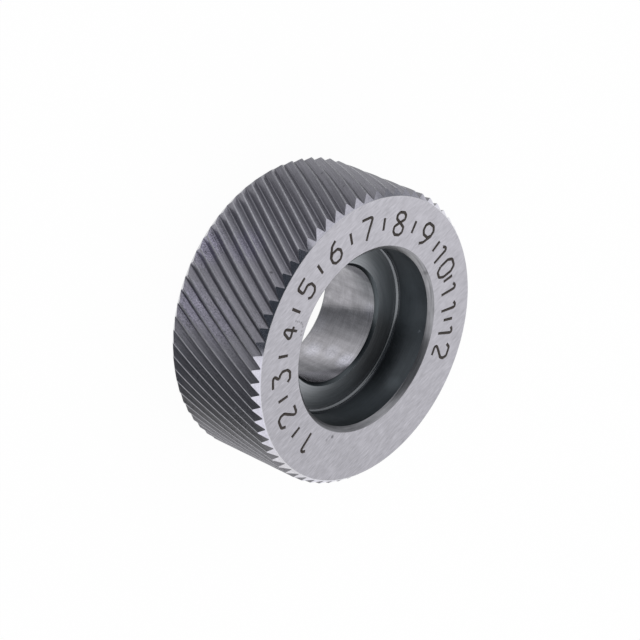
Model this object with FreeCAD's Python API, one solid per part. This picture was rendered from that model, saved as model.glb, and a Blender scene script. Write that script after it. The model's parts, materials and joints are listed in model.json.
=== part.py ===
import FreeCAD, Part
import math
import os

# Knurling wheel with right-hand helical teeth, in millimetres.
# It is one ground piece of hardened steel. The back face lies on Z = 0, the wheel's axis is Z,
# and the counterbore opens upwards, at Z = wheel_width.

# Wheel
outside_diameter = 20.0
wheel_width = 8.0

# Bore and counterbore. The counterbore takes the head of the pin that the wheel runs on.
bore_diameter = 8.0
counterbore_diameter = 12.0
counterbore_depth = 3.0
counterbore_corner_radius = 0.25
mouth_chamfer = 0.32
inner_bore_chamfer = 0.2
back_bore_chamfer = 0.3

# Teeth. Pitch, angle and flats are measured square to the teeth.
tooth_pitch = 0.8
helix_angle = 30.0
tooth_profile_angle = 90.0
crest_flat = 0.08
root_flat = 0.07

# The chamfer on each side runs in past the roots, which leaves a full round edge on the face.
face_rim = 0.055
tooth_chamfer_angle = 52.0

# How far a cutting form runs past the metal it cuts
overrun = 1.0

# Teeth as they lie in a plane square to the axis, where everything along the circle is wider
helix = math.radians(helix_angle)
outside_radius = outside_diameter / 2
tooth_count = round(math.pi * outside_diameter * math.cos(helix) / tooth_pitch)
tooth_step = 2 * math.pi / tooth_count
crest_width = crest_flat / math.cos(helix)
root_width = root_flat / math.cos(helix)
flank_slope = math.tan(math.radians(tooth_profile_angle / 2)) / math.cos(helix)
tooth_depth = (tooth_step * outside_radius - crest_width - root_width) / 2 / flank_slope
root_radius = outside_radius - tooth_depth

# Twist of the teeth for each millimetre along the axis, in radians
twist = math.tan(helix) / outside_radius

# Radii and heights of the turned form
bore_radius = bore_diameter / 2
counterbore_radius = counterbore_diameter / 2
floor_height = wheel_width - counterbore_depth
face_radius = root_radius - face_rim
chamfer_rise = math.tan(math.radians(tooth_chamfer_angle))


def round_point(radius, angle, height):
    """The point at a radius, an angle and a height round the wheel's axis."""
    return FreeCAD.Vector(radius * math.cos(angle), radius * math.sin(angle), height)


def round_arc(radius, start, end, height):
    """An arc round the wheel's axis, from one angle to another."""
    middle = (start + end) / 2
    return Part.Arc(
        round_point(radius, start, height),
        round_point(radius, middle, height),
        round_point(radius, end, height),
    ).toShape()


def tooth_section(height):
    """Outline of the toothed bar at a height: crest, flank, root and flank of every tooth."""
    half_crest = crest_width / 2 / outside_radius
    half_root = root_width / 2 / root_radius
    edges = []
    for tooth in range(tooth_count):
        crest = tooth * tooth_step + height * twist
        root = crest + tooth_step / 2
        next_crest = crest + tooth_step
        crest_end = round_point(outside_radius, crest + half_crest, height)
        root_start = round_point(root_radius, root - half_root, height)
        root_end = round_point(root_radius, root + half_root, height)
        crest_start = round_point(outside_radius, next_crest - half_crest, height)
        edges.append(round_arc(outside_radius, crest - half_crest, crest + half_crest, height))
        edges.append(Part.LineSegment(crest_end, root_start).toShape())
        edges.append(round_arc(root_radius, root - half_root, root + half_root, height))
        edges.append(Part.LineSegment(root_end, crest_start).toShape())
    return Part.Wire(edges)


def toothed_bar():
    """A bar with the helical teeth along it, longer than the wheel at both ends."""
    start = -overrun
    length = wheel_width + 2 * overrun
    axis = Part.LineSegment(
        FreeCAD.Vector(0, 0, start),
        FreeCAD.Vector(0, 0, start + length),
    ).toShape()
    guide = Part.makeHelix(2 * math.pi / twist, length, outside_radius)
    guide.translate(FreeCAD.Vector(0, 0, start))
    sweep = Part.BRepOffsetAPI.MakePipeShell(Part.Wire([axis]))
    sweep.setAuxiliarySpine(Part.Wire(guide.Edges), True, 0)
    sweep.add(tooth_section(start))
    sweep.build()
    sweep.makeSolid()
    return sweep.shape()


def turned_form():
    """The wheel without teeth: chamfered sides, counterbore with its rounded corner, and bore."""
    past_radius = outside_radius + overrun
    past_rise = (past_radius - face_radius) * chamfer_rise
    corner = counterbore_corner_radius
    slant = corner * (1 - math.sqrt(0.5))

    def point(radius, height):
        return FreeCAD.Vector(radius, 0, height)

    def line(first, last):
        return Part.LineSegment(first, last).toShape()

    corners = [
        point(bore_radius + back_bore_chamfer, 0),
        point(face_radius, 0),
        point(past_radius, past_rise),
        point(past_radius, wheel_width - past_rise),
        point(face_radius, wheel_width),
        point(counterbore_radius + mouth_chamfer, wheel_width),
        point(counterbore_radius, wheel_width - mouth_chamfer),
        point(counterbore_radius, floor_height + corner),
    ]
    corner_middle = point(counterbore_radius - slant, floor_height + slant)
    inner_corners = [
        point(counterbore_radius - corner, floor_height),
        point(bore_radius + inner_bore_chamfer, floor_height),
        point(bore_radius, floor_height - inner_bore_chamfer),
        point(bore_radius, back_bore_chamfer),
        corners[0],
    ]
    edges = [line(first, last) for first, last in zip(corners, corners[1:])]
    edges.append(Part.Arc(corners[-1], corner_middle, inner_corners[0]).toShape())
    edges += [line(first, last) for first, last in zip(inner_corners, inner_corners[1:])]
    profile = Part.Face(Part.Wire(edges))
    return profile.revolve(FreeCAD.Vector(0, 0, 0), FreeCAD.Vector(0, 0, 1), 360)


def knurling_wheel():
    """The finished wheel: the toothed bar turned to the wheel's form."""
    wheel = toothed_bar().common(turned_form())
    return wheel.Solids[0]


os.makedirs("parts", exist_ok=True)
knurling_wheel().exportStep("parts/knurling_wheel.step")
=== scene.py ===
import json
import math

import bpy
from mathutils import Matrix


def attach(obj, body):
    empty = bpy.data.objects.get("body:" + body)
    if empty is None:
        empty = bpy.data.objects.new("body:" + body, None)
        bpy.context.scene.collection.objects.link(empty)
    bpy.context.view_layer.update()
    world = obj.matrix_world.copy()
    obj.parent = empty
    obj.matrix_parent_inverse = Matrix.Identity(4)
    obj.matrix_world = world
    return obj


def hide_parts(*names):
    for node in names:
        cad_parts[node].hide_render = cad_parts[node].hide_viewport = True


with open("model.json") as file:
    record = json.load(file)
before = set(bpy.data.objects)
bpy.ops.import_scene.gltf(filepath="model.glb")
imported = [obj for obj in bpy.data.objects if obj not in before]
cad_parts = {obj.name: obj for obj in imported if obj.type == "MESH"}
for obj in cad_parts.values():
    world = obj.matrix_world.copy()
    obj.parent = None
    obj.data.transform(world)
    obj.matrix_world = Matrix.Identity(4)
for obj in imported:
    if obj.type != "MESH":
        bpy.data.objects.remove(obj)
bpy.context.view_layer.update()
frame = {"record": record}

bl_info = {
    "name": "Knurling wheel",
    "version": (1, 0, 0),
    "blender": (4, 5, 0),
    "location": "3D View > Sidebar > Knurling wheel",
    "description": "A ground steel knurling wheel with helical teeth, its finishes and a plain studio",
    "category": "Object",
}

MM = 0.001
SOLID = "knurling_wheel"
OVERALL = frame["record"]["size"]["bbox_m"]
HOLE_RADIUS = {
    mount["name"]: mount["dims"]["r_mm"] * MM
    for mount in frame["record"]["mounts"]
    if mount["kind"] == "bore"
}


# Sizes and colours that can be changed in the sidebar

def length(name, description, default):
    """A length property, in metres."""
    return bpy.props.FloatProperty(
        name=name, description=description, default=default,
        precision=6, unit="LENGTH", subtype="DISTANCE",
    )


def angle(name, description, degrees):
    """An angle property, given in degrees."""
    return bpy.props.FloatProperty(
        name=name, description=description, default=math.radians(degrees),
        unit="ROTATION", subtype="ANGLE",
    )


def colour(name, description, default):
    """A colour property."""
    return bpy.props.FloatVectorProperty(
        name=name, description=description, default=default,
        size=3, min=0, max=1, subtype="COLOR",
    )


class WheelSizes(bpy.types.PropertyGroup):
    """Sizes of the wheel and its teeth"""

    outside_diameter: length("Outside diameter", "Across the crests of the teeth", OVERALL[0])
    width: length("Width", "From face to face", OVERALL[2])
    bore_diameter: length("Bore", "Hole for the pin", 2 * HOLE_RADIUS["bore"])
    counterbore_diameter: length("Counterbore", "Recess in the front face", 2 * HOLE_RADIUS["counterbore"])
    counterbore_depth: length("Counterbore depth", "From the front face to the floor", 3.0 * MM)
    corner_radius: length("Counterbore corner", "Rounding between its wall and floor", 0.25 * MM)
    mouth_chamfer: length("Mouth chamfer", "At the counterbore's mouth", 0.32 * MM)
    inner_bore_chamfer: length("Inner bore chamfer", "Where the bore meets the floor", 0.2 * MM)
    back_bore_chamfer: length("Back bore chamfer", "Where the bore meets the back face", 0.3 * MM)
    edge_break: length("Edge break", "Rounding of every turned edge", 0.035 * MM)
    tooth_pitch: length("Tooth pitch", "Square to the teeth", 0.8 * MM)
    crest_flat: length("Crest flat", "Width of a tooth's top", 0.08 * MM)
    root_flat: length("Root flat", "Width of the bottom between teeth", 0.07 * MM)
    tooth_edge: length("Tooth edge", "Rounding along crests and roots", 0.03 * MM)
    face_rim: length("Face rim", "How far the end chamfer runs in past the roots", 0.055 * MM)
    helix_angle: angle("Helix angle", "Lean of the right-hand teeth from the axis", 30.0)
    profile_angle: angle("Profile angle", "Between the flanks of a tooth", 90.0)
    chamfer_angle: angle("Chamfer angle", "Of the tooth ends, from the face", 52.0)
    rows_along_tooth: bpy.props.IntProperty(
        name="Rows along a tooth", description="Faces from one end to the other", default=34, min=4,
    )


class NumberSizes(bpy.types.PropertyGroup):
    """Sizes of the etched dial numbers"""

    count: bpy.props.IntProperty(
        name="Numbers", description="How many numbers, from one up", default=12, min=1,
    )
    height: length("Height", "Of a number", 1.5 * MM)
    stroke: length("Stroke", "Width of a line", 0.20 * MM)
    base_radius: length("Base circle", "Radius that the numbers stand on", 7.05 * MM)
    first_angle: angle("First number", "Where the first number stands", -9.0)
    spacing: angle("Spacing", "From one number to the next, clockwise", 22.2)


class FinishColours(bpy.types.PropertyGroup):
    """Colours of the steel's finishes"""

    face: colour("Ground face", "The two flat faces", (0.485, 0.477, 0.520))
    chamfer: colour("Tooth ends", "The ground chamfer across the teeth", (0.65, 0.64, 0.73))
    crest: colour("Crests", "The narrow tops of the teeth", (0.41, 0.41, 0.45))
    flank: colour("Flanks", "The hardened sides of the teeth", (0.228, 0.225, 0.258))
    rubbed: colour("Rubbed flanks", "Worn patches with a violet sheen", (0.225, 0.215, 0.285))
    mouth: colour("Mouth chamfer", "At the counterbore's mouth", (0.29, 0.29, 0.31))
    wall: colour("Counterbore wall", "Dark and smooth", (0.122, 0.140, 0.153))
    floor: colour("Counterbore floor", "Dark, with fine rings", (0.310, 0.325, 0.345))
    edge: colour("Turned edges", "The broken edges round both faces", (0.62, 0.62, 0.65))
    corner: colour("Counterbore corner", "The rounding between wall and floor", (0.20, 0.21, 0.225))
    bore: colour("Bore", "The honed running surface", (0.50, 0.49, 0.52))
    # Lighter colour of the bore's patches: partly the pin's polish, partly painted reflections.
    bore_polish_and_painted_sheen: colour("Polished bore", "Where the pin has polished the bore", (0.52, 0.52, 0.60))
    etching: colour("Etched numbers", "The burnt steel of the numbers", (0.030, 0.022, 0.018))


class StudioSettings(bpy.types.PropertyGroup):
    """Camera and light"""

    camera_distance: length("Camera distance", "From the camera to the aim point", 188.29 * MM)
    camera_azimuth: angle("Camera azimuth", "Zero looks along +Y", -2.285)
    camera_height: angle("Camera elevation", "Above the faces' plane", 38.733)
    camera_roll: angle("Camera roll", "Turns the wheel's axis down to the right", 113.704)
    camera_aim: bpy.props.FloatVectorProperty(
        name="Camera aim", description="The point in the middle of the picture",
        default=(0.076 * MM, -0.115 * MM, 3.852 * MM),
        precision=6, unit="LENGTH", subtype="XYZ_LENGTH",
    )
    focal_length: bpy.props.FloatProperty(
        name="Focal length", description="For a sensor 36 mm wide, in millimetres", default=162.95,
    )
    floor_size: length("Floor", "Side of the square floor", 1.2)
    light_level: bpy.props.FloatProperty(
        name="Light level", description="Brightness of the white room", default=1.0, min=0,
    )


# Arithmetic on node sockets

class Field:
    """A node socket that plain arithmetic can be done with."""

    def __init__(self, socket):
        self.socket = socket
        self.tree = socket.id_data

    def math(self, operation, *others):
        """The result of a Math node with this value first."""
        return self.worked(operation, self, *others)

    def worked(self, operation, *values):
        """The result of a Math node with these values in their order."""
        node = self.tree.nodes.new("ShaderNodeMath")
        node.operation = operation
        for value, socket in zip(values, node.inputs):
            feed(value, socket)
        return Field(node.outputs[0])

    def __add__(self, other):
        return self.math("ADD", other)

    def __sub__(self, other):
        return self.math("SUBTRACT", other)

    def __mul__(self, other):
        return self.math("MULTIPLY", other)

    def __truediv__(self, other):
        return self.math("DIVIDE", other)

    def __rsub__(self, other):
        return self.worked("SUBTRACT", other, self)

    def __rtruediv__(self, other):
        return self.worked("DIVIDE", other, self)

    __radd__ = __add__
    __rmul__ = __mul__

    def __neg__(self):
        return self.math("MULTIPLY", -1.0)

    def less_than(self, other):
        return self.math("LESS_THAN", other)

    def equals(self, other):
        return self.math("COMPARE", other, 0.5)


def feed(value, socket):
    """Give an input socket a field's value or a plain one."""
    if isinstance(value, Field):
        socket.id_data.links.new(value.socket, socket)
    else:
        socket.default_value = value


def add_node(tree, kind, inputs=None, **options):
    """Add a node, set its options, then feed its inputs by their names or numbers."""
    node = tree.nodes.new(kind)
    for name, value in options.items():
        setattr(node, name, value)
    for name, value in (inputs or {}).items():
        feed(value, node.inputs[name])
    return node


def output(node, name=0):
    """One output of a node, as a field."""
    return Field(node.outputs[name])


def choose(tree, index, values):
    """The value with that index."""
    node = tree.nodes.new("GeometryNodeIndexSwitch")
    node.data_type = "FLOAT"
    while len(node.index_switch_items) < len(values):
        node.index_switch_items.new()
    feed(index, node.inputs["Index"])
    for position, value in enumerate(values):
        feed(value, node.inputs[position + 1])
    return output(node)


def pick(tree, condition, if_true, if_false):
    """One of two numbers, by a condition."""
    node = add_node(tree, "GeometryNodeSwitch", input_type="FLOAT")
    feed(condition, node.inputs["Switch"])
    feed(if_true, node.inputs["True"])
    feed(if_false, node.inputs["False"])
    return output(node)


def vector(tree, x, y, z):
    """A vector of three numbers or fields."""
    return output(add_node(tree, "ShaderNodeCombineXYZ", {"X": x, "Y": y, "Z": z}))


def parts_of(tree, value):
    """The three numbers of a vector field."""
    node = add_node(tree, "ShaderNodeSeparateXYZ", {0: value})
    return output(node, "X"), output(node, "Y"), output(node, "Z")


def new_tree(name, inputs):
    """A Geometry Nodes tree with named inputs; returns it, its inputs as fields and its output node."""
    tree = bpy.data.node_groups.new(name, "GeometryNodeTree")
    for label, (kind, _value) in inputs.items():
        tree.interface.new_socket(name=label, in_out="INPUT", socket_type=kind)
    tree.interface.new_socket(name="Geometry", in_out="OUTPUT", socket_type="NodeSocketGeometry")
    given = tree.nodes.new("NodeGroupInput")
    fields = {label: output(given, label) for label in inputs}
    return tree, fields, tree.nodes.new("NodeGroupOutput")


def run_tree(name, source, tree, inputs):
    """Run a tree on an object made of source data and return the result as a plain mesh object."""
    carrier = bpy.data.objects.new(name + "_carrier", source)
    bpy.context.scene.collection.objects.link(carrier)
    modifier = carrier.modifiers.new(name, "NODES")
    modifier.node_group = tree
    for item in tree.interface.items_tree:
        if item.in_out == "INPUT" and inputs[item.name][1] is not None:
            modifier[item.identifier] = inputs[item.name][1]
    bpy.context.view_layer.update()
    graph = bpy.context.evaluated_depsgraph_get()
    mesh = bpy.data.meshes.new_from_object(carrier.evaluated_get(graph), depsgraph=graph)
    mesh.name = name
    bpy.data.objects.remove(carrier)
    piece = bpy.data.objects.new(name, mesh)
    bpy.context.scene.collection.objects.link(piece)
    return piece


# The wheel

# The turned form's section, in the order of its corners: the finish after each corner and at its rounding
TURNED_FINISH = ["chamfer", "face", "mouth", "wall", "floor", "bore_chamfer", "bore", "bore_chamfer",
                 "face", "chamfer", "chamfer"]
TURNED_EDGE = ["edge", "edge", "mouth", "mouth", "corner", "bore_chamfer", "bore_chamfer", "bore_chamfer",
               "edge", "edge", "edge"]
FINISH_ORDER = ["face", "chamfer", "mouth", "wall", "floor", "bore_chamfer", "bore", "flank", "crest",
                "edge", "corner"]

# The corner between the counterbore's wall and floor, and the corners at both ends of a tooth's crest
RECESS_CORNER = 4
CREST_START = 2.0
CREST_END = 3.0

# Faces in a rounding
EDGE_STEPS = 2
RECESS_STEPS = 8

# Where the turned form goes over into the teeth, as a share of the way from the face's edge to the roots
RING_SHARE = 0.6

MERGE_DISTANCE = 0.0005 * MM

# An edge is sharp where it bends by more than the angle, and where two finishes meet: there the mean of their
# numbers' squares is more than the square of their mean, by at least this change
SHARP_ANGLE = math.radians(28)
FINISH_CHANGE = 0.01


def tooth_form(sizes):
    """Sizes of the teeth that follow from the pitch, the helix and the flats."""
    outside = sizes.outside_diameter / 2
    lean = math.cos(sizes.helix_angle)
    count = round(math.pi * sizes.outside_diameter * lean / sizes.tooth_pitch)
    step = 2 * math.pi / count
    crest_width = sizes.crest_flat / lean
    root_width = sizes.root_flat / lean
    slope = math.tan(sizes.profile_angle / 2) / lean
    root = outside - (step * outside - crest_width - root_width) / 2 / slope
    return {
        "Tooth count": ("NodeSocketInt", count),
        "Outside radius": ("NodeSocketFloat", outside),
        "Root radius": ("NodeSocketFloat", root),
        "Half crest": ("NodeSocketFloat", crest_width / 2 / outside),
        "Half root": ("NodeSocketFloat", root_width / 2 / root),
        "Twist": ("NodeSocketFloat", math.tan(sizes.helix_angle) / outside),
        "Face radius": ("NodeSocketFloat", root - sizes.face_rim),
        "Chamfer rise": ("NodeSocketFloat", math.tan(sizes.chamfer_angle)),
    }


def wheel_inputs(sizes):
    """Every named input of the wheel's tree, with its socket type and value."""
    inputs = tooth_form(sizes)
    inputs.update({
        "Width": ("NodeSocketFloat", sizes.width),
        "Bore radius": ("NodeSocketFloat", sizes.bore_diameter / 2),
        "Counterbore radius": ("NodeSocketFloat", sizes.counterbore_diameter / 2),
        "Counterbore depth": ("NodeSocketFloat", sizes.counterbore_depth),
        "Corner radius": ("NodeSocketFloat", sizes.corner_radius),
        "Mouth chamfer": ("NodeSocketFloat", sizes.mouth_chamfer),
        "Inner bore chamfer": ("NodeSocketFloat", sizes.inner_bore_chamfer),
        "Back bore chamfer": ("NodeSocketFloat", sizes.back_bore_chamfer),
        "Edge break": ("NodeSocketFloat", sizes.edge_break),
        "Tooth edge": ("NodeSocketFloat", sizes.tooth_edge),
        "Rows": ("NodeSocketInt", sizes.rows_along_tooth),
    })
    return inputs


def rounded_line(tree, corners, radii, steps):
    """A line through the corners, given as (x, y), with each one numbered and rounded in so many steps."""
    index = output(add_node(tree, "GeometryNodeInputIndex"))
    line = add_node(tree, "GeometryNodeMeshLine", {"Count": len(corners)})
    place = vector(
        tree,
        choose(tree, index, [x for x, _y in corners]),
        choose(tree, index, [y for _x, y in corners]),
        0.0,
    )
    placed = add_node(tree, "GeometryNodeSetPosition", {"Geometry": output(line), "Position": place})
    curve = add_node(tree, "GeometryNodeMeshToCurve", {"Mesh": output(placed)})
    numbered = add_node(
        tree, "GeometryNodeStoreNamedAttribute",
        data_type="FLOAT", domain="POINT",
        inputs={"Geometry": output(curve), "Name": "corner", "Value": index},
    )
    fillet = add_node(
        tree, "GeometryNodeFilletCurve",
        mode="POLY",
        inputs={
            "Curve": output(numbered),
            "Count": choose(tree, index, [float(step) for step in steps]),
            "Limit Radius": True,
            "Radius": choose(tree, index, radii),
        },
    )
    return output(fillet)


def tooth_outline(tree, size):
    """One tooth's section, from the middle of one root over the crest to the middle of the next."""
    half_step = math.pi / size["Tooth count"]
    root_edge = half_step - size["Half root"]
    rim = [
        (-half_step, size["Root radius"]),
        (-root_edge, size["Root radius"]),
        (-size["Half crest"], size["Outside radius"]),
        (size["Half crest"], size["Outside radius"]),
        (root_edge, size["Root radius"]),
        (half_step, size["Root radius"]),
    ]
    corners = [(radius * turn.math("COSINE"), radius * turn.math("SINE")) for turn, radius in rim]
    return rounded_line(tree, corners, [size["Tooth edge"]] * len(corners), [EDGE_STEPS] * len(corners))


def turned_outline(tree, size, ring):
    """The turned form's section, as radius and height, from the front chamfer inside to the back one."""
    top = size["Width"]
    floor = top - size["Counterbore depth"]
    ring_height = (ring - size["Face radius"]) * size["Chamfer rise"]
    corners = [
        (ring, top - ring_height),
        (size["Face radius"], top),
        (size["Counterbore radius"] + size["Mouth chamfer"], top),
        (size["Counterbore radius"], top - size["Mouth chamfer"]),
        (size["Counterbore radius"], floor),
        (size["Bore radius"] + size["Inner bore chamfer"], floor),
        (size["Bore radius"], floor - size["Inner bore chamfer"]),
        (size["Bore radius"], size["Back bore chamfer"]),
        (size["Bore radius"] + size["Back bore chamfer"], 0.0),
        (size["Face radius"], 0.0),
        (ring, ring_height),
    ]
    radii = [size["Edge break"]] * len(corners)
    steps = [EDGE_STEPS] * len(corners)
    radii[RECESS_CORNER] = size["Corner radius"]
    steps[RECESS_CORNER] = RECESS_STEPS
    return rounded_line(tree, corners, radii, steps)


def finish_number(name):
    """The number that stands for a finish on the wheel's faces."""
    return float(FINISH_ORDER.index(name))


def sample(tree, geometry, index, value, kind):
    """A curve's value at the point with that index."""
    node = add_node(
        tree, "GeometryNodeSampleIndex", data_type=kind, domain="POINT", clamp=True,
        inputs={"Geometry": geometry, "Value": value, "Index": index},
    )
    return output(node)


def point_count(tree, curve):
    """How many points a curve has."""
    node = add_node(tree, "GeometryNodeAttributeDomainSize", {"Geometry": curve}, component="CURVE")
    return output(node, "Point Count")


def smooth_step(tree, value, low, high):
    """A soft step from 0 at low to 1 at high."""
    node = add_node(
        tree, "ShaderNodeMapRange", interpolation_type="SMOOTHSTEP",
        inputs={"Value": value, "From Min": low, "From Max": high},
    )
    return output(node)


def named(tree, name):
    """A stored number."""
    return output(add_node(tree, "GeometryNodeInputNamedAttribute", {"Name": name}, data_type="FLOAT"))


def wheel_slice(tree, size):
    """The slice of the whole wheel that carries one tooth, as a strip closed round its section."""
    ring = size["Face radius"] + (size["Root radius"] - size["Face radius"]) * RING_SHARE
    tooth = tooth_outline(tree, size)
    turned = turned_outline(tree, size, ring)
    columns = point_count(tree, tooth)
    turned_rows = point_count(tree, turned)

    # The grid's columns follow one tooth's outline. Its rows follow the turned outline, then run along the
    # tooth from the back chamfer to the front one, and the last row lies on the first.
    rows = turned_rows + size["Rows"] + 2.0
    grid = add_node(tree, "GeometryNodeMeshGrid", {"Vertices X": columns, "Vertices Y": rows})
    index = output(add_node(tree, "GeometryNodeInputIndex"))
    position = output(add_node(tree, "GeometryNodeInputPosition"))

    column = (index / rows).math("FLOOR")
    row = index.math("FLOORED_MODULO", rows).math("FLOORED_MODULO", rows - 1.0)
    tooth_x, tooth_y, _zero = parts_of(tree, sample(tree, tooth, column, position, "FLOAT_VECTOR"))
    turned_radius, turned_height, _zero = parts_of(tree, sample(tree, turned, row, position, "FLOAT_VECTOR"))
    tooth_radius = (tooth_x * tooth_x + tooth_y * tooth_y).math("SQRT")
    tooth_turn = tooth_y.math("ARCTAN2", tooth_x)
    chamfer_end = (tooth_radius - size["Face radius"]) * size["Chamfer rise"]
    along = (row - turned_rows) / size["Rows"]
    on_tooth = row.math("GREATER_THAN", turned_rows - 0.5)
    tooth_height = chamfer_end + (size["Width"] - chamfer_end * 2.0) * along
    radius = pick(tree, on_tooth, tooth_radius, turned_radius)
    height = pick(tree, on_tooth, tooth_height, turned_height)
    turn = tooth_turn + height * size["Twist"]
    place = vector(tree, radius * turn.math("COSINE"), radius * turn.math("SINE"), height)
    placed = add_node(tree, "GeometryNodeSetPosition", {"Geometry": output(grid), "Position": place})

    # A face takes its finish from the corners that its column and its row belong to.
    face_column = (index / (rows - 1.0)).math("FLOOR")
    face_row = index.math("FLOORED_MODULO", rows - 1.0)
    corner = named(tree, "corner")
    turned_corner = sample(tree, turned, face_row, corner, "FLOAT")
    first_corner = sample(tree, tooth, face_column, corner, "FLOAT")
    second_corner = sample(tree, tooth, face_column + 1.0, corner, "FLOAT")
    crest_end_rounded = first_corner.equals(CREST_END) * second_corner.equals(CREST_END)
    on_crest = first_corner.equals(CREST_START) + crest_end_rounded
    tooth_finish = pick(tree, on_crest, finish_number("crest"), finish_number("flank"))
    next_turned_corner = sample(tree, turned, face_row + 1.0, corner, "FLOAT")
    surface = choose(tree, turned_corner, [finish_number(name) for name in TURNED_FINISH])
    edge = choose(tree, turned_corner, [finish_number(name) for name in TURNED_EDGE])
    rounded = (turned_corner - next_turned_corner).math("ABSOLUTE").less_than(0.5)
    turned_finish = pick(tree, rounded, edge, surface)
    last_chamfer = face_row.math("GREATER_THAN", rows - 2.5)
    beyond_turned = face_row.math("GREATER_THAN", turned_rows - 0.5)
    outer_finish = pick(tree, last_chamfer, finish_number("chamfer"), tooth_finish)
    finish = pick(tree, beyond_turned, outer_finish, turned_finish)
    stored = add_node(
        tree, "GeometryNodeStoreNamedAttribute",
        data_type="FLOAT", domain="FACE",
        inputs={"Geometry": output(placed), "Name": "finish", "Value": finish},
    )
    return output(stored)


def wheel_tree(inputs, materials):
    """The tree that repeats the slice round the axis, joins the slices and gives each surface its finish."""
    tree, size, result = new_tree("one slice for each tooth", inputs)
    one_slice = wheel_slice(tree, size)
    index = output(add_node(tree, "GeometryNodeInputIndex"))
    points = add_node(tree, "GeometryNodePoints", {"Count": size["Tooth count"]})
    step = index / size["Tooth count"] * (2 * math.pi)
    slices = add_node(
        tree, "GeometryNodeInstanceOnPoints",
        inputs={"Points": output(points), "Instance": one_slice, "Rotation": vector(tree, 0.0, 0.0, step)},
    )
    joined = add_node(tree, "GeometryNodeRealizeInstances", {"Geometry": output(slices)})
    closed = add_node(
        tree, "GeometryNodeMergeByDistance", {"Geometry": output(joined), "Distance": MERGE_DISTANCE},
    )
    smooth = add_node(tree, "GeometryNodeSetShadeSmooth", {"Geometry": output(closed)})
    bend = output(add_node(tree, "GeometryNodeInputMeshEdgeAngle"))
    finish = named(tree, "finish")
    mean_square = add_node(
        tree, "GeometryNodeFieldOnDomain", {"Value": finish * finish}, data_type="FLOAT", domain="FACE",
    )
    change = output(mean_square) - finish * finish
    sharp = add_node(
        tree, "GeometryNodeStoreNamedAttribute",
        data_type="BOOLEAN", domain="EDGE",
        inputs={
            "Geometry": output(smooth),
            "Name": "sharp_edge",
            "Value": bend.math("GREATER_THAN", SHARP_ANGLE) + change.math("GREATER_THAN", FINISH_CHANGE),
        },
    )
    geometry = output(sharp)
    for number, name in enumerate(FINISH_ORDER):
        chosen = finish.equals(float(number))
        dressed = add_node(
            tree, "GeometryNodeSetMaterial",
            inputs={"Geometry": geometry, "Selection": chosen, "Material": materials[name]},
        )
        geometry = output(dressed)
    feed(geometry, result.inputs["Geometry"])
    return tree


# Etched numbers

ETCH_THICKNESS = 0.006 * MM

# Each stroke rises along its length, by this share of its thickness, so strokes that cross share no surface
STROKE_RISE = 0.2

# Rounding of a stroke's bends, as a share of a number's height
STROKE_ROUNDING = 0.10

# Centre lines of plain single-stroke digits, as (across, up) in a box one unit high
DIGIT_WIDTH = 0.62
DIGITS = {
    "0": [(0.0, 0.25), (0.0, 0.75), (0.15, 1.0), (0.47, 1.0), (0.62, 0.75), (0.62, 0.25), (0.47, 0.0),
          (0.15, 0.0), (0.0, 0.25)],
    "1": [(0.12, 0.78), (0.38, 1.0), (0.38, 0.0)],
    "2": [(0.0, 0.78), (0.12, 1.0), (0.50, 1.0), (0.62, 0.82), (0.62, 0.62), (0.0, 0.0), (0.62, 0.0)],
    "3": [(0.0, 1.0), (0.60, 1.0), (0.27, 0.60), (0.47, 0.60), (0.62, 0.44), (0.62, 0.16), (0.47, 0.0),
          (0.14, 0.0), (0.0, 0.15)],
    "4": [(0.46, 0.0), (0.46, 1.0), (0.0, 0.28), (0.64, 0.28)],
    "5": [(0.58, 1.0), (0.06, 1.0), (0.03, 0.56), (0.44, 0.60), (0.62, 0.44), (0.62, 0.16), (0.46, 0.0),
          (0.14, 0.0), (0.0, 0.15)],
    "6": [(0.50, 1.0), (0.26, 0.86), (0.0, 0.44), (0.0, 0.16), (0.15, 0.0), (0.47, 0.0), (0.62, 0.16),
          (0.62, 0.40), (0.47, 0.56), (0.15, 0.56), (0.02, 0.42)],
    "7": [(0.0, 1.0), (0.62, 1.0), (0.22, 0.0)],
    "8": [(0.31, 0.54), (0.05, 0.70), (0.05, 0.88), (0.19, 1.0), (0.43, 1.0), (0.57, 0.88), (0.57, 0.70),
          (0.31, 0.54), (0.0, 0.36), (0.0, 0.14), (0.16, 0.0), (0.46, 0.0), (0.62, 0.14), (0.62, 0.36),
          (0.31, 0.54)],
}
DIGITS["9"] = [(DIGIT_WIDTH - x, 1.0 - y) for x, y in DIGITS["6"]]
DIGIT_GAP = 0.26
TICK = [(0.0, 0.22), (0.0, 0.78)]


def number_lines(sizes):
    """Centre lines of the numbers and of the ticks between them, laid out flat along one straight line."""
    lines = []
    middle = sizes.base_radius + sizes.height / 2
    for number in range(sizes.count):
        text = str(number + 1)
        centre = number * sizes.spacing * middle / sizes.height
        wide = len(text) * DIGIT_WIDTH + (len(text) - 1) * DIGIT_GAP
        for place, digit in enumerate(text):
            start = centre - wide / 2 + place * (DIGIT_WIDTH + DIGIT_GAP)
            lines.append([(start + x, y) for x, y in DIGITS[digit]])
        if number + 1 < sizes.count:
            tick = centre + sizes.spacing / 2 * middle / sizes.height
            lines.append([(tick + x, y) for x, y in TICK])
    return lines


def line_mesh(name, lines, scale):
    """A mesh of loose edges along the lines."""
    points = []
    edges = []
    for line in lines:
        first = len(points)
        points += [(x * scale, y * scale, 0.0) for x, y in line]
        edges += [(first + step, first + step + 1) for step in range(len(line) - 1)]
    mesh = bpy.data.meshes.new(name)
    mesh.from_pydata(points, edges, [])
    return mesh


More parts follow.
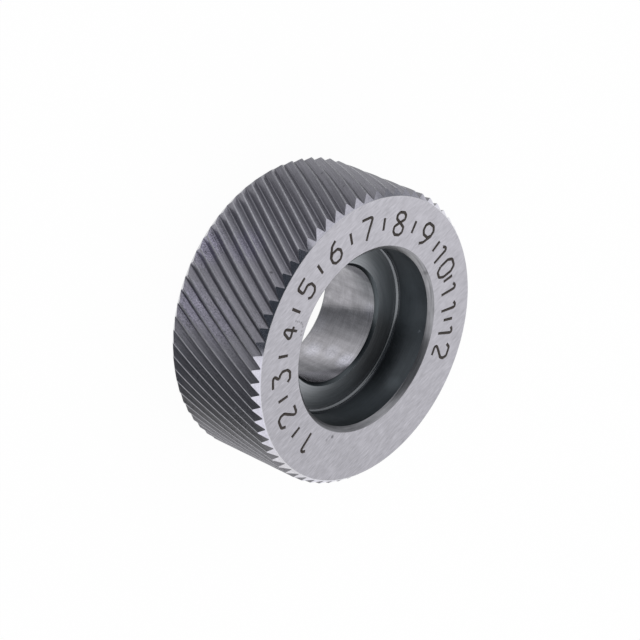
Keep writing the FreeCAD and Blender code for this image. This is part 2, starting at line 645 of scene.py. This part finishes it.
def number_inputs(sizes, width):
    """Every named input of the numbers' tree, with its socket type and value."""
    return {
        "Lines": ("NodeSocketGeometry", None),
        "Stroke": ("NodeSocketFloat", sizes.stroke),
        "Thickness": ("NodeSocketFloat", ETCH_THICKNESS),
        "Rise": ("NodeSocketFloat", ETCH_THICKNESS * STROKE_RISE),
        "Rounding": ("NodeSocketFloat", sizes.height * STROKE_ROUNDING),
        "Base radius": ("NodeSocketFloat", sizes.base_radius),
        "Middle radius": ("NodeSocketFloat", sizes.base_radius + sizes.height / 2),
        "First angle": ("NodeSocketFloat", sizes.first_angle),
        "Face height": ("NodeSocketFloat", width),
    }


def number_tree(inputs, material):
    """The tree that draws a flat stroke along every line and bends them all round the wheel's axis."""
    tree, size, result = new_tree("strokes bent round the face", inputs)
    curve = add_node(tree, "GeometryNodeMeshToCurve", {"Mesh": size["Lines"]})
    fillet = add_node(
        tree, "GeometryNodeFilletCurve",
        mode="POLY",
        inputs={"Curve": output(curve), "Count": 3, "Limit Radius": True, "Radius": size["Rounding"]},
    )
    flat = add_node(tree, "GeometryNodeSetCurveNormal", {"Curve": output(fillet)}, mode="Z_UP")
    even = add_node(tree, "GeometryNodeSubdivideCurve", {"Curve": output(flat), "Cuts": 2})
    ribbon = add_node(
        tree, "GeometryNodeCurvePrimitiveQuadrilateral",
        inputs={"Width": size["Stroke"], "Height": size["Thickness"]},
    )
    along = output(add_node(tree, "GeometryNodeSplineParameter"), "Factor")
    rise = vector(tree, 0.0, 0.0, along * size["Rise"])
    rising = add_node(tree, "GeometryNodeSetPosition", {"Geometry": output(even), "Offset": rise})
    stroke = add_node(
        tree, "GeometryNodeCurveToMesh",
        inputs={"Curve": output(rising), "Profile Curve": output(ribbon), "Fill Caps": True},
    )
    x, y, z = parts_of(tree, output(add_node(tree, "GeometryNodeInputPosition")))
    turn = size["First angle"] - x / size["Middle radius"]
    radius = size["Base radius"] + y
    place = vector(tree, radius * turn.math("COSINE"), radius * turn.math("SINE"), size["Face height"] + z)
    bent = add_node(tree, "GeometryNodeSetPosition", {"Geometry": output(stroke), "Position": place})
    joined = add_node(tree, "GeometryNodeRealizeInstances", {"Geometry": output(bent)})
    dressed = add_node(tree, "GeometryNodeSetMaterial", {"Geometry": output(joined), "Material": material})
    feed(output(dressed), result.inputs["Geometry"])
    return tree


# Finishes

GRIND_ANGLE = math.radians(-28)

# How far a turned surface's tool marks lean out of its radius, along the axis
TURNING_LEAN = 1.3

# The height of the finest relief
RELIEF_DEPTH = 0.01 * MM

# The middle of a mark, as a share of its radius, has the mark's full strength
MARK_CORE = 0.4

# Old marks on the wheel, and one painted reflection on the counterbore's wall: the middle of each in
# millimetres, its radius, and how much it darkens the steel. A negative strength makes the steel lighter.
FACE_MARKS = [
    ((1.02, -7.40, 8.0), 0.10, 0.35), ((1.01, -7.22, 8.0), 0.09, 0.40), ((0.98, -7.04, 8.0), 0.09, 0.40),
    ((0.97, -6.86, 8.0), 0.10, 0.45), ((1.03, -6.68, 8.0), 0.10, 0.35), ((1.16, -6.55, 8.0), 0.11, 0.30),
    ((1.42, -6.47, 8.0), 0.10, 0.30), ((1.66, -6.37, 8.0), 0.10, 0.35), ((6.60, 0.96, 8.0), 0.16, 0.55),
    ((6.94, 0.56, 8.0), 0.14, 0.25),
]
MOUTH_MARKS = [((-5.54, 2.67, 8.0), 0.30, 0.45), ((-4.49, 4.20, 7.6), 0.18, 0.40)]
# Two small bright scratches on the counterbore's wall, and one wide painted reflection, a lighter glow near
# its top.
WALL_SCRATCHES_AND_PAINTED_GLOW = [
    ((-2.13, 5.61, 7.26), 0.11, -0.90), ((-2.02, 5.65, 7.18), 0.08, -0.60), ((1.75, 5.74, 7.05), 0.70, -0.30),
]
TOOTH_PITS = [
    ((-7.17, -6.75, 4.11), 0.17, 0.65), ((-8.35, -5.23, 3.04), 0.13, 0.60),
    ((-6.22, -7.64, 6.31), 0.13, 0.55), ((-7.89, -5.90, 6.52), 0.12, -0.70),
    ((-8.05, -5.68, 5.43), 0.12, 0.55), ((-9.19, -3.53, 7.23), 0.16, 0.60),
    ((-2.11, -9.62, 5.03), 0.12, -0.90), ((-1.97, -9.65, 5.33), 0.11, -0.90),
    ((-0.99, -9.80, 6.53), 0.15, 0.60), ((-5.43, -8.22, 0.99), 0.15, 0.50),
    ((7.25, -6.66, 6.92), 0.10, -0.90), ((-0.52, -9.80, 0.90), 0.15, 0.55),
]

# Patches of the bore, partly polish and partly painted reflections, and rubbed patches of the teeth, given in
# the same way, but here a positive strength makes the steel lighter.
BORE_POLISH_AND_PAINTED_REFLECTIONS = [
    ((1.75, 3.60, 4.30), 0.80, 0.40), ((1.60, 3.66, 2.90), 0.75, 0.22), ((1.95, 3.49, 1.50), 0.80, 0.25),
    ((-1.95, 3.49, 4.50), 0.70, 0.22), ((-2.06, 3.43, 3.10), 0.70, -0.18), ((0.21, 3.99, 0.60), 0.80, 0.14),
]
RUBBED_PATCHES = [
    ((2.90, -9.41, 1.40), 1.8, 0.20), ((3.16, -9.33, 4.00), 1.8, 0.14), ((-0.90, -9.80, 0.80), 1.6, 0.24),
    ((-2.00, -9.70, 3.60), 1.6, 0.18),
]


class Finish:
    """A steel material being made: its nodes, its shader and a point's place on the wheel, in millimetres."""

    def __init__(self, name, roughness, across=0.0, metal=1.0):
        self.material = bpy.data.materials.new(name)
        self.material.use_nodes = True
        self.tree = self.material.node_tree
        self.shader = self.tree.nodes["Principled BSDF"]
        self.shader.inputs["Metallic"].default_value = metal
        self.shader.inputs["Roughness"].default_value = roughness
        self.shader.inputs["Anisotropic"].default_value = across
        place = output(add_node(self.tree, "ShaderNodeTexCoord"), "Object")
        self.x, self.y, self.z = (part / MM for part in parts_of(self.tree, place))
        self.radius = (self.x * self.x + self.y * self.y).math("SQRT")

    def noise(self, x, y, z, detail=2.0, roughness=0.5):
        """Smooth noise from 0 to 1, mostly near a half, that changes once for each unit."""
        place = vector(self.tree, x, y, z)
        node = add_node(
            self.tree, "ShaderNodeTexNoise",
            inputs={"Vector": place, "Scale": 1.0, "Detail": detail, "Roughness": roughness},
        )
        return output(node)

    def even_noise(self, scale, detail=2.0, roughness=0.5):
        """Noise that looks the same in every direction, with so many changes in a millimetre."""
        return self.noise(self.x * scale, self.y * scale, self.z * scale, detail, roughness)

    def lines_round(self, across, count, along):
        """Fine lines round the axis: so many in a millimetre across them, changing slowly along them."""
        return self.noise(across * count, self.x * along, self.y * along, 3.0, 0.6)

    def range(self, value, low, high, to_low, to_high):
        """The value taken from one range to another, and held at its ends."""
        node = add_node(
            self.tree, "ShaderNodeMapRange",
            inputs={"Value": value, "From Min": low, "From Max": high, "To Min": to_low, "To Max": to_high},
        )
        return output(node)

    def mix(self, amount, first, second):
        """One colour turning into another."""
        node = self.tree.nodes.new("ShaderNodeMix")
        node.data_type = "RGBA"
        feed(amount, node.inputs[0])
        for value, socket in ((first, node.inputs[6]), (second, node.inputs[7])):
            feed(value if isinstance(value, Field) else (*value, 1.0), socket)
        return Field(node.outputs[2])

    def shade(self, colour_value, amount):
        """A colour made lighter or darker by a factor."""
        node = add_node(
            self.tree, "ShaderNodeVectorMath", {0: colour_value, "Scale": amount}, operation="SCALE",
        )
        return output(node)

    def marks(self, places):
        """The strength, at each point, of marks at fixed places: each has its middle, radius and strength."""
        here = vector(self.tree, self.x, self.y, self.z)
        total = 0.0
        for point, size, strength in places:
            away = add_node(self.tree, "ShaderNodeVectorMath", {0: here, 1: point}, operation="DISTANCE")
            total = self.range(output(away, "Value"), size * MARK_CORE, size, strength, 0.0) + total
        return total

    def marks_run(self, tangent):
        """Tell the shader which way lies across the tool marks."""
        feed(tangent, self.shader.inputs["Tangent"])

    def marks_run_round(self):
        """Tool marks that run round the wheel's axis, on any turned surface."""
        x, y = self.x / self.radius, self.y / self.radius
        self.marks_run(vector(self.tree, x, y, TURNING_LEAN))

    def relief(self, height, strength):
        """Fine relief, from its height between 0 and 1."""
        node = add_node(
            self.tree, "ShaderNodeBump",
            inputs={"Height": height, "Strength": strength, "Distance": RELIEF_DEPTH},
        )
        feed(output(node), self.shader.inputs["Normal"])

    def paint(self, colour_value, roughness=None):
        """Give the shader its colour, and a roughness that varies."""
        feed(colour_value, self.shader.inputs["Base Color"])
        if roughness is not None:
            feed(roughness, self.shader.inputs["Roughness"])
        return self.material


def ground_face(colours):
    """A surface-ground face: short fine strokes, all one way, with a few old marks on the front and painted
    shade.
    """
    steel = Finish("ground face", 0.34, 0.4)
    along = steel.x * math.cos(GRIND_ANGLE) + steel.y * math.sin(GRIND_ANGLE)
    across = steel.y * math.cos(GRIND_ANGLE) - steel.x * math.sin(GRIND_ANGLE)
    steel.marks_run(vector(steel.tree, -math.sin(GRIND_ANGLE), math.cos(GRIND_ANGLE), 0.0))
    fine = steel.noise(across * 20, along * 1.5, steel.z, 3.0, 0.6)
    strokes = steel.noise(across * 7, along * 1.3, steel.z + 3.0, 2.0, 0.6)
    broad = steel.noise(across * 1.6, along * 0.5, steel.z + 7.0)
    # Painted shade: a lighting gradient that makes the face darker towards +x and a little towards +y.
    face_painted_shade = steel.x * 0.009 + steel.y * 0.003
    tone = 1.0 + (fine - 0.5) * 0.65 + (strokes - 0.5) * 0.60 + (broad - 0.5) * 0.25 - face_painted_shade
    stain = steel.marks(FACE_MARKS)
    steel.relief(fine * 0.6 + strokes * 0.4, 0.30)
    return steel.paint(steel.shade(colours.face, tone * (1.0 - stain)), 0.30 + strokes * 0.12)


def ground_chamfer(colours):
    """The chamfer ground across the tooth ends, mottled, with lines round the wheel."""
    steel = Finish("ground tooth ends", 0.14, 0.3)
    steel.marks_run_round()
    fine = steel.lines_round(steel.radius, 18, 0.8)
    mottle = steel.even_noise(7, 3.0, 0.65)
    tone = 1.0 + (fine - 0.5) * 0.4 + (mottle - 0.5) * 0.5
    steel.relief(mottle, 0.08)
    return steel.paint(steel.shade(colours.chamfer, tone), 0.08 + mottle * 0.12)


def turned_chamfer(colours):
    """The counterbore's mouth chamfer, turned."""
    steel = Finish("turned mouth chamfer", 0.30, 0.2, metal=0.92)
    steel.marks_run_round()
    fine = steel.lines_round(steel.z, 11, 0.5)
    patch = steel.even_noise(1.6)
    tone = 1.0 + (fine - 0.5) * 1.5 + (patch - 0.5) * 0.4
    nick = steel.marks(MOUTH_MARKS)
    steel.relief(fine, 0.2)
    return steel.paint(steel.shade(colours.mouth, tone * (1.0 - nick)))


def turned_wall(colours):
    """The counterbore's wall: dark and smooth, with faint turning lines round it, two scratches, painted
    shade and a painted glow.
    """
    steel = Finish("turned counterbore wall", 0.32, 0.2, metal=0.93)
    steel.marks_run_round()
    fine = steel.lines_round(steel.z, 18, 0.4)
    patch = steel.noise(steel.z * 1.2, steel.x * 0.8, steel.y * 0.8)
    tone = 1.0 + (fine - 0.5) * 0.5 + (patch - 0.5) * 0.5
    # Painted shade: the wall is up to 30% darker deeper down, towards the floor.
    wall_painted_shade = steel.range(steel.z, 5.4, 6.6, 0.30, 0.0)
    # Two small bright scratches, and a wide painted reflection: a lighter glow near the top of the wall.
    wall_scratches_and_painted_glow = steel.marks(WALL_SCRATCHES_AND_PAINTED_GLOW)
    return steel.paint(steel.shade(colours.wall, tone * (1.0 - wall_painted_shade) * (1.0 - wall_scratches_and_painted_glow)), 0.26 + patch * 0.12)


def turned_floor(colours):
    """The counterbore's floor, faced in the lathe with fine rings, with painted shade towards the wall."""
    steel = Finish("turned counterbore floor", 0.32, 0.2, metal=0.97)
    steel.marks_run_round()
    fine = steel.lines_round(steel.radius, 26, 0.35)
    wide = steel.noise(steel.radius * 5, steel.x * 0.5, steel.y * 0.5)
    # Painted shade: the floor is darker out towards the wall and a little lighter in towards the bore.
    floor_painted_shade = steel.range(steel.radius, 4.2, 5.8, 0.08, -0.14)
    tone = 1.0 + floor_painted_shade + (fine - 0.5) * 0.8 + (wide - 0.5) * 0.3
    return steel.paint(steel.shade(colours.floor, tone), 0.27 + wide * 0.10)


def rubbed_edge(colours):
    """The broken edges round both faces, rubbed bright."""
    steel = Finish("rubbed edges", 0.26)
    rub = steel.even_noise(3, 3.0, 0.6)
    return steel.paint(steel.shade(colours.edge, 1.0 + (rub - 0.5) * 0.8), 0.20 + rub * 0.14)


def turned_corner(colours):
    """The rounding between the counterbore's wall and floor, a little brighter than the wall."""
    steel = Finish("turned counterbore corner", 0.22, 0.3)
    steel.marks_run_round()
    fine = steel.lines_round(steel.radius, 26, 0.5)
    return steel.paint(steel.shade(colours.corner, 1.0 + (fine - 0.5) * 0.9))


def bore_edge(colours):
    """The dark chamfers at both ends of the bore."""
    steel = Finish("turned bore chamfer", 0.30, 0.5)
    steel.marks_run_round()
    fine = steel.lines_round(steel.z, 20, 0.6)
    return steel.paint(steel.shade(colours.wall, 0.70 + (fine - 0.5) * 0.5))


def honed_bore(colours):
    """The bore's running surface: honed, mottled, with rings, polished patches and painted reflections, and
    painted shade at the top.
    """
    steel = Finish("honed bore", 0.24, 0.6)
    steel.marks_run_round()
    rings = steel.lines_round(steel.z, 16, 0.35)
    mottle = steel.noise(steel.z * 2.6, steel.x * 1.3, steel.y * 1.3, 3.0, 0.55)
    speckle = steel.noise(steel.z * 9, steel.x * 9, steel.y * 9, 2.0, 0.6)
    streaks = steel.noise(steel.x * 2.4, steel.y * 2.4, steel.z * 0.22, 3.0, 0.6)
    # Lighter patches: partly polish, partly painted reflections of the room.
    patches = steel.marks(BORE_POLISH_AND_PAINTED_REFLECTIONS)
    ridged = steel.range(steel.z, 3.9, 4.6, 0.35, 1.10)
    tone = 1.0 + patches + (rings - 0.5) * ridged + (mottle - 0.5) * 0.6 + (streaks - 0.5) * 0.7
    tone = tone + (speckle - 0.5) * (0.25 + patches * 2.5)
    # Painted shade: towards the top of the bore, mostly at both sides, the colour turns to the wall's dark
    # colour.
    aside = steel.range(steel.x.math("ABSOLUTE"), 1.8, 3.4, 0.12, 0.62)
    bore_painted_shade = steel.range(steel.z, 2.6, 4.2, 0.15, 1.0) * aside
    tint = steel.mix(bore_painted_shade, steel.mix(patches * 1.5, colours.bore, colours.bore_polish_and_painted_sheen), colours.wall)
    steel.relief(rings * 0.5 + speckle * 0.5, 0.14)
    return steel.paint(steel.shade(tint, tone), 0.11 + mottle * 0.14)


def ground_flank(colours, twist):
    """The flanks of the teeth: lines along each tooth, speckled wear in patches, and a few pits."""
    steel = Finish("ground tooth flanks", 0.30, 0.4)
    turn = steel.y.math("ARCTAN2", steel.x) - steel.z * (twist * MM)
    side, front = turn.math("COSINE") * 10, turn.math("SINE") * 10
    steel.marks_run(vector(steel.tree, steel.x, steel.y, 0.0))
    lines = steel.noise(side * 12, front * 12, steel.z * 0.45 + steel.radius * 12, 3.0, 0.6)
    speckle = steel.even_noise(14, 3.0, 0.7)
    patch = steel.noise(steel.x * 0.45, steel.y * 0.45, steel.z * 0.45 + 3.0)
    rubbed = steel.marks(RUBBED_PATCHES)
    worn = steel.range(patch, 0.46, 0.60, 0.0, 0.5) + rubbed * 7.0
    tone = 1.0 + rubbed * 0.5 + (lines - 0.5) * 1.2 + (speckle - 0.5) * (1.0 + worn * 2.6)
    tint = steel.mix(rubbed * 3.0, colours.flank, colours.rubbed)
    pits = steel.marks(TOOTH_PITS)
    steel.relief(speckle * 0.5 + lines * 0.5 - pits, 0.3)
    return steel.paint(steel.shade(tint, tone * (1.0 - pits)), 0.26 + speckle * 0.14)


def worn_crest(colours):
    """The narrow tops of the teeth, rubbed bright."""
    steel = Finish("worn tooth crests", 0.30)
    rub = steel.even_noise(5, 3.0, 0.6)
    nicks = steel.marks(TOOTH_PITS)
    tone = (1.0 + (rub - 0.5) * 0.9) * (1.0 - nicks)
    return steel.paint(steel.shade(colours.crest, tone), 0.24 + rub * 0.14)


def etched_line(colours):
    """Steel burnt dark brown in the etched lines."""
    steel = Finish("etched numbers", 0.55, metal=0.35)
    burn = steel.noise(steel.x * 7, steel.y * 7, steel.z, 3.0, 0.6)
    return steel.paint(steel.shade(colours.etching, 0.55 + burn * 0.9))


def wheel_finishes(colours, twist):
    """A material for each finish of the wheel."""
    return {
        "face": ground_face(colours),
        "chamfer": ground_chamfer(colours),
        "mouth": turned_chamfer(colours),
        "wall": turned_wall(colours),
        "floor": turned_floor(colours),
        "bore_chamfer": bore_edge(colours),
        "bore": honed_bore(colours),
        "flank": ground_flank(colours, twist),
        "crest": worn_crest(colours),
        "edge": rubbed_edge(colours),
        "corner": turned_corner(colours),
    }


class OBJECT_OT_knurling_wheel(bpy.types.Operator):
    """Build the toothed wheel with its finishes"""

    bl_idname = "object.knurling_wheel"
    bl_label = "Build the wheel"

    def execute(self, context):
        sizes = context.scene.wheel_sizes
        colours = context.scene.finish_colours
        inputs = wheel_inputs(sizes)
        tree = wheel_tree(inputs, wheel_finishes(colours, inputs["Twist"][1]))
        wheel = run_tree("toothed_wheel", bpy.data.meshes.new("empty"), tree, inputs)
        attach(wheel, "root")
        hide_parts(SOLID)
        return {"FINISHED"}


# Studio

# The white room is dimmer in some directions, for reflections only. Directions are in the wheel's own frame:
# z is along its axis, out of the counterbore, and the camera is at -y and above.

# How much of a dimming the red, the green and the blue light take
DIMMING_TINT = (1.0, 0.992, 0.984)

# The middles of the overhead dark spot and of the window on the left
OVERHEAD = (-0.10, 0.05, 0.99)
WINDOW = (-0.962, 0.155, -0.228)

# How much of the floor's look to the camera and in reflections is plain white, and not matt with a shadow
FLOOR_WHITENESS = 0.96

# The camera's sensor in millimetres, and how near it starts to see, in metres
SENSOR_WIDTH = 36
NEAREST_SEEN = 0.01


def spot(tree, direction, centre, inner, outer):
    """A soft round spot of directions: 1 within the inner angle from the centre, 0 past the outer one."""
    alike = add_node(tree, "ShaderNodeVectorMath", {0: direction, 1: centre}, operation="DOT_PRODUCT")
    low, high = math.cos(math.radians(outer)), math.cos(math.radians(inner))
    return smooth_step(tree, output(alike, "Value"), low, high)


def together(*shares):
    """How much light several dimmings take away between them."""
    left_over = 1.0
    for share in shares:
        left_over = (1.0 - share) * left_over
    return 1.0 - left_over


def dark_opening(tree, x, y, z):
    """The dark opening on the camera's side, which leans with height."""
    above = (z - 0.5).math("MAXIMUM", 0.0)
    below = (-z).math("MAXIMUM", 0.0)
    level_with = (1.0 - z.math("ABSOLUTE") * 4).math("MAXIMUM", 0.0)
    edge = below * 0.22 - smooth_step(tree, z, 0.15, 0.50) * 0.22 - above * 0.8 - 0.40
    left = smooth_step(tree, x, edge, edge + below * 0.43 + 0.08)
    right = 1.0 - smooth_step(tree, x + above * 0.7, 0.58, level_with * 0.30 + 0.64)
    front = smooth_step(tree, -y, 0.25, 0.45)
    depth = smooth_step(tree, z, 0.25, 0.45) * 0.12 + 0.84
    return left * right * front * depth


def dim_sides(tree, x, y, z):
    """The dimmer parts low down, on the far left, and behind on the left."""
    low = smooth_step(tree, -z, 0.20, 0.70) * smooth_step(tree, -x, -0.25, 0.20)
    low = low * (0.50 - smooth_step(tree, -z, 0.80, 0.95) * smooth_step(tree, -x, 0.10, 0.45) * 0.30)
    low = low * (1.0 - smooth_step(tree, y, 0.00, 0.25) * 0.85)
    far_left = smooth_step(tree, -x, 0.45, 0.80) * smooth_step(tree, z, -0.05, 0.20)
    far_left = far_left * (0.35 + smooth_step(tree, y, -0.05, 0.15) * 0.08)
    behind = smooth_step(tree, -x, 0.40, 0.75) * smooth_step(tree, z, -0.30, -0.10)
    behind = behind * smooth_step(tree, y, 0.00, 0.30) * (0.72 - smooth_step(tree, z, 0.10, 0.25) * 0.55)
    return low, far_left, behind


def dim_band(tree, x, y):
    """Three dimmer parts of the band of directions that the bore and the counterbore's wall reflect."""
    middle = smooth_step(tree, x, -1.00, 0.40) * (1.0 - smooth_step(tree, x, 0.46, 0.66))
    middle = middle * smooth_step(tree, -y, -0.10, 0.25) * 0.80
    back = smooth_step(tree, y, -0.65, 0.25) * smooth_step(tree, -x, -0.10, 0.30) * 0.65
    back = back * (1.0 - smooth_step(tree, y, 0.55, 0.70))
    right = smooth_step(tree, x, 0.30, 0.75) * 0.38
    return middle, back, right


def white_room(level):
    """A white room that lights the wheel evenly, with the dimmer parts that its reflections show."""
    world = bpy.data.worlds.new("white room")
    world.use_nodes = True
    tree = world.node_tree
    direction = output(add_node(tree, "ShaderNodeTexCoord"), "Generated")
    x, y, z = parts_of(tree, direction)
    in_band = smooth_step(tree, -z, 0.40, 0.55) * (1.0 - smooth_step(tree, -z, 0.72, 0.84))
    overhead = spot(tree, direction, OVERHEAD, 8, 32) * 0.75
    around = together(dark_opening(tree, x, y, z), *dim_sides(tree, x, y, z), overhead) * (1.0 - in_band)
    around = around + together(*dim_band(tree, x, y)) * in_band
    window = spot(tree, direction, WINDOW, 10, 45) * 0.20
    window = window * (1.0 - smooth_step(tree, z, -0.10, 0.10)) * (1.0 - in_band)

    reflected = output(add_node(tree, "ShaderNodeLightPath"), "Is Glossy Ray")
    warm = smooth_step(tree, x, 0.40, 0.70) * smooth_step(tree, z, -0.45, -0.30)
    warm = warm * (1.0 - smooth_step(tree, z, 0.05, 0.25)) * reflected * 0.07
    taken = (around - window) * reflected
    red, green, blue = (1.0 - taken * share for share in DIMMING_TINT)
    light = vector(tree, red * level, green * level, (blue - warm) * level)
    feed(light, tree.nodes["Background"].inputs["Color"])
    return world


def white_floor():
    """A white floor that keeps a faint shadow."""
    material = bpy.data.materials.new("white floor")
    material.use_nodes = True
    tree = material.node_tree
    tree.nodes.clear()
    path = add_node(tree, "ShaderNodeLightPath")
    white = add_node(tree, "ShaderNodeEmission", {"Color": (1, 1, 1, 1)})
    matt = add_node(tree, "ShaderNodeBsdfDiffuse", {"Color": (0.9, 0.9, 0.9, 1)})
    seen = output(path, "Is Camera Ray") + output(path, "Is Glossy Ray") + output(path, "Is Transmission Ray")
    whiteness = seen.math("MINIMUM", 1.0) * FLOOR_WHITENESS
    mixed = add_node(tree, "ShaderNodeMixShader", {0: whiteness, 1: output(matt), 2: output(white)})
    result = tree.nodes.new("ShaderNodeOutputMaterial")
    feed(output(mixed), result.inputs["Surface"])
    return material


class OBJECT_OT_face_numbers(bpy.types.Operator):
    """Etch the dial numbers round the front face"""

    bl_idname = "object.face_numbers"
    bl_label = "Etch the numbers"

    def execute(self, context):
        sizes = context.scene.number_sizes
        lines = line_mesh("number_lines", number_lines(sizes), sizes.height)
        inputs = number_inputs(sizes, context.scene.wheel_sizes.width)
        tree = number_tree(inputs, etched_line(context.scene.finish_colours))
        numbers = run_tree("face_numbers", lines, tree, inputs)
        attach(numbers, "root")
        return {"FINISHED"}


class OBJECT_OT_wheel_studio(bpy.types.Operator):
    """Set up the floor, the light and the camera"""

    bl_idname = "object.wheel_studio"
    bl_label = "Set up the studio"

    def execute(self, context):
        settings = context.scene.studio_settings
        scene = context.scene
        scene.view_settings.view_transform = "Standard"
        data = bpy.data.cameras.new("camera")
        data.sensor_width = SENSOR_WIDTH
        data.lens = settings.focal_length
        data.clip_start = NEAREST_SEEN
        camera = bpy.data.objects.new("camera", data)
        scene.collection.objects.link(camera)
        turn = Matrix.Rotation(-settings.camera_azimuth, 4, "Z")
        tilt = Matrix.Rotation(math.pi / 2 - settings.camera_height, 4, "X")
        roll = Matrix.Rotation(settings.camera_roll, 4, "Z")
        back = Matrix.Translation((0, 0, settings.camera_distance))
        camera.matrix_world = Matrix.Translation(settings.camera_aim) @ turn @ tilt @ roll @ back
        scene.camera = camera
        scene.world = white_room(settings.light_level)
        mesh = bpy.data.meshes.new("floor")
        half = settings.floor_size / 2
        corners = [(-half, -half, 0), (half, -half, 0), (half, half, 0), (-half, half, 0)]
        mesh.from_pydata(corners, [], [(0, 1, 2, 3)])
        mesh.materials.append(white_floor())
        floor = bpy.data.objects.new("floor", mesh)
        floor.visible_glossy = False
        scene.collection.objects.link(floor)
        return {"FINISHED"}


class VIEW3D_PT_knurling_wheel(bpy.types.Panel):
    """Sidebar panel of the knurling wheel"""

    bl_label = "Knurling wheel"
    bl_idname = "VIEW3D_PT_knurling_wheel"
    bl_space_type = "VIEW_3D"
    bl_region_type = "UI"
    bl_category = "Knurling wheel"

    def draw(self, context):
        for name in GROUPS:
            group = getattr(context.scene, name)
            box = self.layout.box()
            for setting in group.bl_rna.properties.keys():
                if setting not in ("rna_type", "name"):
                    box.prop(group, setting)
        for operator in OPERATORS:
            self.layout.operator(operator.bl_idname)


GROUPS = {
    "wheel_sizes": WheelSizes,
    "number_sizes": NumberSizes,
    "finish_colours": FinishColours,
    "studio_settings": StudioSettings,
}
OPERATORS = [OBJECT_OT_knurling_wheel, OBJECT_OT_face_numbers, OBJECT_OT_wheel_studio]


def register():
    for name, group in GROUPS.items():
        bpy.utils.register_class(group)
        setattr(bpy.types.Scene, name, bpy.props.PointerProperty(type=group))
    for operator in OPERATORS:
        bpy.utils.register_class(operator)
    bpy.utils.register_class(VIEW3D_PT_knurling_wheel)


def unregister():
    bpy.utils.unregister_class(VIEW3D_PT_knurling_wheel)
    for operator in OPERATORS:
        bpy.utils.unregister_class(operator)
    for name, group in GROUPS.items():
        delattr(bpy.types.Scene, name)
        bpy.utils.unregister_class(group)


def main():
    register()
    bpy.ops.object.knurling_wheel()
    bpy.ops.object.face_numbers()
    bpy.ops.object.wheel_studio()


if __name__ == "__main__":
    main()
